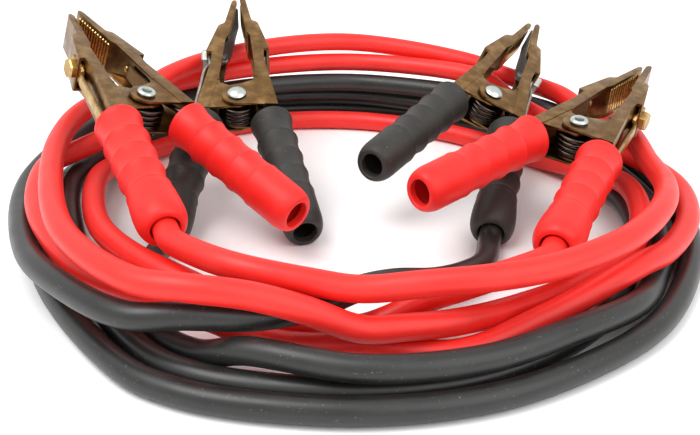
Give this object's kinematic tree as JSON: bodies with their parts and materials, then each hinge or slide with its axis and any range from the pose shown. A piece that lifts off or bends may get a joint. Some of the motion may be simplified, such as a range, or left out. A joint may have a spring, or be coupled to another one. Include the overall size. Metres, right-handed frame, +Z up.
{
  "type": "car jumper cable",
  "caption": "Pair of heavy jumper leads, red and black, coiled together on the floor, each with sprung toothed steel battery clamps and ribbed grips.",
  "frame": {"origin": "middle of the four clamps as seen from above, at the height of the floor the set lies on", "axes": "+Z up, +Y away from the viewer of the picture, +X to the right"},
  "size_m": [0.3748, 0.3729, 0.098],
  "materials": {
    "plated_jaw": "satin",
    "zinc_steel": "satin",
    "yellow_zinc": "satin",
    "spring_steel": "gloss",
    "red_grip": "satin",
    "black_grip": "matte",
    "bronze_braid": "matte",
    "tinned_braid": "matte",
    "red_cable_jacket": "satin",
    "black_cable_jacket": "satin"
  },
  "bodies": {
    "set": {"red_left_cable_jaw": "plated_jaw", "red_left_rivet": "zinc_steel", "red_left_spring": "spring_steel", "red_left_cable_grip": "red_grip", "red_left_bolt": "yellow_zinc", "red_left_lug": "yellow_zinc", "red_left_strap": "bronze_braid", "black_left_cable_jaw": "plated_jaw", "black_left_rivet": "zinc_steel", "black_left_spring": "spring_steel", "black_left_cable_grip": "black_grip", "black_left_bolt": "zinc_steel", "black_left_lug": "zinc_steel", "black_left_strap": "tinned_braid", "black_right_cable_jaw": "plated_jaw", "black_right_rivet": "zinc_steel", "black_right_spring": "spring_steel", "black_right_cable_grip": "black_grip", "black_right_bolt": "zinc_steel", "black_right_lug": "zinc_steel", "black_right_strap": "tinned_braid", "red_right_cable_jaw": "plated_jaw", "red_right_rivet": "zinc_steel", "red_right_spring": "spring_steel", "red_right_cable_grip": "red_grip", "red_right_bolt": "yellow_zinc", "red_right_lug": "yellow_zinc", "red_right_strap": "bronze_braid", "red_cable": "red_cable_jacket", "black_cable": "black_cable_jacket"},
    "red_left_free_half": {"red_left_free_jaw": "plated_jaw", "red_left_free_grip": "red_grip", "red_left_strap_pin": "yellow_zinc"},
    "black_left_free_half": {"black_left_free_jaw": "plated_jaw", "black_left_free_grip": "black_grip", "black_left_strap_pin": "zinc_steel"},
    "black_right_free_half": {"black_right_free_jaw": "plated_jaw", "black_right_free_grip": "black_grip", "black_right_strap_pin": "zinc_steel"},
    "red_right_free_half": {"red_right_free_jaw": "plated_jaw", "red_right_free_grip": "red_grip", "red_right_strap_pin": "yellow_zinc"}
  },
  "joints": [
    {"name": "red_left_hinge", "type": "hinge", "parent": "set", "child": "red_left_free_half", "pos_m": [-0.11776, -0.02563, 0.0626], "axis": [-0.2893, 0.1069, -0.9512], "range_deg": [0, 24], "stiffness_Nm_per_rad": 5, "springref_deg": -28.65, "deforming": ["red_left_spring", "red_left_strap"]},
    {"name": "black_left_hinge", "type": "hinge", "parent": "set", "child": "black_left_free_half", "pos_m": [-0.07236, 0.03037, 0.0464], "axis": [-0.0242, 0.3673, -0.9298], "range_deg": [0, 24], "stiffness_Nm_per_rad": 5, "springref_deg": -28.65, "deforming": ["black_left_spring", "black_left_strap"]},
    {"name": "black_right_hinge", "type": "hinge", "parent": "set", "child": "black_right_free_half", "pos_m": [0.07674, 0.03957, 0.04595], "axis": [0.2927, -0.3502, 0.8898], "range_deg": [0, 24], "stiffness_Nm_per_rad": 5, "springref_deg": -28.65, "deforming": ["black_right_spring", "black_right_strap"]},
    {"name": "red_right_hinge", "type": "hinge", "parent": "set", "child": "red_right_free_half", "pos_m": [0.11544, -0.02613, 0.049], "axis": [0.0282, -0.1449, 0.989], "range_deg": [0, 24], "stiffness_Nm_per_rad": 5, "springref_deg": -28.65, "deforming": ["red_right_spring", "red_right_strap"]}
  ]
}
